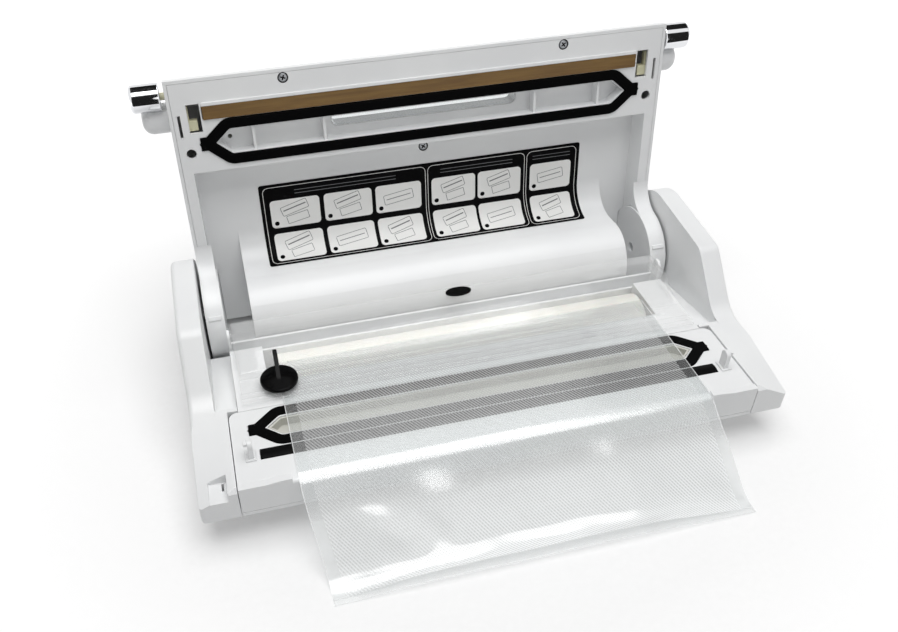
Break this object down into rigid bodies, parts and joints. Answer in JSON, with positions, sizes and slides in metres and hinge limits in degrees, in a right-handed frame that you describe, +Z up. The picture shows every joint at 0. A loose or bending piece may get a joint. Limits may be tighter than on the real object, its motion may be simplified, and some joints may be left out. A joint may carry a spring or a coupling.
{
  "type": "vacuum sealer",
  "caption": "Countertop vacuum sealer with a hinged lid, film roll under a clear flap, sliding bag cutter, sealing strip, ring gaskets and side release knobs.",
  "frame": {"origin": "on the table, under the middle of the whole outline with the lid open and the bag drawn out", "axes": "+X to the sealer's right as seen from its front, +Y to the back, +Z up"},
  "size_m": [0.4162, 0.3026, 0.2222],
  "materials": {
    "white_abs": "satin moulded ABS",
    "grey_abs": "matt moulded ABS",
    "tray_abs": "satin",
    "clear_cover": "clear moulded acrylic",
    "clear_lens": "clear moulded acrylic",
    "film": "embossed bag film",
    "film_roll": "wound embossed film",
    "card": "wound card tube",
    "black_rubber": "matt foam rubber",
    "black_plastic": "gloss",
    "cream_latch": "matt acetal",
    "chrome": "polished plating",
    "steel": "zinc plated",
    "blade_steel": "ground",
    "brown_tape": "woven non-stick tape",
    "rail_resin": "matt",
    "wire": "bare",
    "label": "printed film",
    "board": "solder mask",
    "pump_resin": "matt",
    "motor_steel": "drawn can",
    "core_steel": "lacquered laminations",
    "hose_pvc": "soft tube",
    "lamp": "tinted lens",
    "button_abs": "satin"
  },
  "bodies": {
    "base": {"bottom_cover": "white_abs", "rubber_feet": "black_rubber", "left_cheek": "white_abs", "right_cheek": "white_abs", "cord_gland": "black_rubber", "hinge_pins": "steel", "base_screws": "steel", "front_deck": "white_abs", "front_bottom_cover": "white_abs", "drip_tray": "tray_abs", "lower_gasket": "black_rubber", "seal_rubber": "black_rubber", "left_catch": "white_abs", "right_catch": "white_abs", "roll_bay": "white_abs", "bag_film": "film"},
    "lid": {"lid_inner_panel": "white_abs", "lid_outer_shell": "white_abs", "lid_screws": "steel", "left_arm": "white_abs", "right_arm": "white_abs", "lid_window": "clear_lens", "upper_gasket": "black_rubber", "heater_rail": "rail_resin", "heater_wire": "wire", "heater_tape": "brown_tape", "instruction_label": "label", "lamp_lens": "lamp", "control_board": "board", "button_switches": "black_plastic", "pump_head": "pump_resin", "pump_motor": "motor_steel", "transformer": "core_steel", "hose_nipple": "cream_latch", "vacuum_hose": "hose_pvc"},
    "clear_cover": {"roll_cover": "clear_cover", "cover_pad": "black_rubber"},
    "cutter": {"cutter_knob": "black_plastic", "cutter_blade": "blade_steel"},
    "roll": {"film_roll": "film_roll", "roll_core": "card"},
    "left_release": {"left_release_knob": "chrome", "left_latch": "cream_latch"},
    "right_release": {"right_release_knob": "chrome", "right_latch": "cream_latch"},
    "vacuum_key": {"vacuum_button": "button_abs"},
    "seal_key": {"seal_button": "button_abs"}
  },
  "joints": [
    {"name": "lid_hinge", "type": "hinge", "parent": "base", "child": "lid", "pos_m": [0, 0.09471, 0.0435], "axis": [-1, 0, 0], "range_deg": [-97, 0]},
    {"name": "cover_hinge", "type": "hinge", "parent": "base", "child": "clear_cover", "pos_m": [0, 0.04971, 0.0573], "axis": [-1, 0, 0], "range_deg": [0, 95]},
    {"name": "cutter_slide", "type": "slide", "parent": "clear_cover", "child": "cutter", "axis": [1, 0, 0], "range_m": [0, 0.279]},
    {"name": "roll_spin", "type": "hinge", "parent": "base", "child": "roll", "pos_m": [0.002, 0.02271, 0.0298], "axis": [1, 0, 0], "continuous": true},
    {"name": "left_release_slide", "type": "slide", "parent": "lid", "child": "left_release", "axis": [1, 0, 0], "range_m": [0, 0.003]},
    {"name": "right_release_slide", "type": "slide", "parent": "lid", "child": "right_release", "axis": [-1, 0, 0], "range_m": [0, 0.003]},
    {"name": "vacuum_press", "type": "slide", "parent": "lid", "child": "vacuum_key", "axis": [0, -0.9925, 0.1219], "range_m": [0, 0.001], "stiffness_N_per_m": 400, "springref_m": -0.001},
    {"name": "seal_press", "type": "slide", "parent": "lid", "child": "seal_key", "axis": [0, -0.9925, 0.1219], "range_m": [0, 0.001], "stiffness_N_per_m": 400, "springref_m": -0.001}
  ]
}
